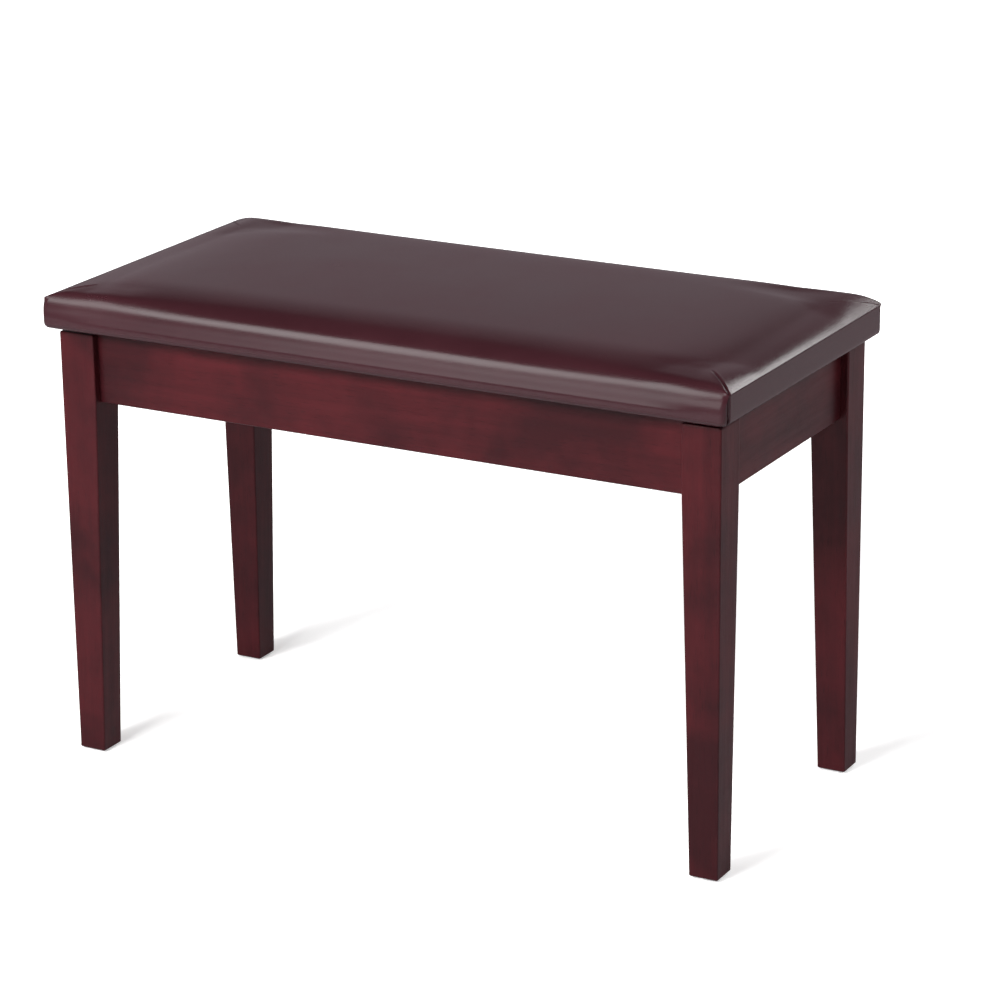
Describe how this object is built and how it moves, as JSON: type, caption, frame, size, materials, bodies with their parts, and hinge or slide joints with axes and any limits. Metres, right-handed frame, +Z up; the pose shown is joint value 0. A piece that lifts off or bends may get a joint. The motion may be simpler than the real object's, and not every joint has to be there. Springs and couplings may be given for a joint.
{
  "type": "piano bench",
  "caption": "Low wooden bench with a thick padded seat that hinges up over a shallow storage box, on square tapered legs.",
  "frame": {"origin": "centre of the bench's footprint on the floor, under the feet", "axes": "+X along the bench to the sitter's right as seen from the front, +Y to the back where the lid is hinged, +Z up"},
  "size_m": [0.7494, 0.3556, 0.4953],
  "materials": {
    "stained_wood": "satin reddish brown lacquer over stained hardwood",
    "box_inner_wood": "thin stain, no lacquer",
    "plywood": "raw sanded plywood",
    "seat_leather": "smooth dark brown artificial leather, soft sheen",
    "black_cloth": "matt non-woven cloth",
    "plated_steel": "zinc plated",
    "glide_plastic": "moulded",
    "bumper_rubber": "pale soft rubber"
  },
  "bodies": {
    "frame": {"apron_front": "stained_wood", "apron_left": "stained_wood", "apron_rear": "stained_wood", "apron_right": "stained_wood", "corner_block_back_left": "box_inner_wood", "corner_block_back_right": "box_inner_wood", "corner_block_front_left": "box_inner_wood", "corner_block_front_right": "box_inner_wood", "foot_glide_back_left": "glide_plastic", "foot_glide_back_right": "glide_plastic", "foot_glide_front_left": "glide_plastic", "foot_glide_front_right": "glide_plastic", "hanger_bolt_back_left": "plated_steel", "hanger_bolt_back_right": "plated_steel", "hanger_bolt_front_left": "plated_steel", "hanger_bolt_front_right": "plated_steel", "hinge_frame_leaf_left": "plated_steel", "hinge_frame_leaf_right": "plated_steel", "hinge_frame_screw_left_inner": "plated_steel", "hinge_frame_screw_left_outer": "plated_steel", "hinge_frame_screw_right_inner": "plated_steel", "hinge_frame_screw_right_outer": "plated_steel", "hinge_pin_left": "plated_steel", "hinge_pin_right": "plated_steel", "leg_back_left": "stained_wood", "leg_back_right": "stained_wood", "leg_front_left": "stained_wood", "leg_front_right": "stained_wood", "lid_bumper_left": "bumper_rubber", "lid_bumper_right": "bumper_rubber", "stay_frame_plate": "plated_steel", "stay_frame_rivet": "plated_steel", "stay_frame_screw_back": "plated_steel", "stay_frame_screw_front": "plated_steel", "storage_panel": "plywood", "washer_back_left": "plated_steel", "washer_back_right": "plated_steel", "washer_front_left": "plated_steel", "washer_front_right": "plated_steel", "wing_nut_back_left": "plated_steel", "wing_nut_back_right": "plated_steel", "wing_nut_front_left": "plated_steel", "wing_nut_front_right": "plated_steel"},
    "lid": {"dust_cover": "black_cloth", "hinge_lid_leaf_left": "plated_steel", "hinge_lid_leaf_right": "plated_steel", "hinge_lid_screw_left_inner": "plated_steel", "hinge_lid_screw_left_outer": "plated_steel", "hinge_lid_screw_right_inner": "plated_steel", "hinge_lid_screw_right_outer": "plated_steel", "lid_board": "plywood", "seat_cushion": "seat_leather", "stay_lid_bracket": "plated_steel", "stay_lid_rivet": "plated_steel", "stay_lid_screw_back": "plated_steel", "stay_lid_screw_front": "plated_steel"},
    "stay_lower": {"stay_elbow_rivet": "plated_steel", "stay_lower_arm": "plated_steel"},
    "stay_upper": {"stay_upper_arm": "plated_steel"}
  },
  "joints": [
    {"name": "lid_hinge", "type": "hinge", "parent": "frame", "child": "lid", "pos_m": [0, 0.162, 0.44775], "axis": [-1, 0, 0], "range_deg": [0, 80]},
    {"name": "stay_lower_pivot", "type": "hinge", "parent": "frame", "child": "stay_lower", "pos_m": [-0.3349, 0.06, 0.40575], "axis": [-1, 0, 0], "range_deg": [0, 80]},
    {"name": "stay_elbow", "type": "hinge", "parent": "stay_lower", "child": "stay_upper", "pos_m": [-0.3324, -0.05, 0.39375], "axis": [-1, 0, 0], "range_deg": [-80, 0]}
  ],
  "couplings": [
    {"joint": "stay_lower_pivot", "follows": "lid_hinge", "ratio": 1},
    {"joint": "stay_elbow", "follows": "lid_hinge", "ratio": -1}
  ]
}
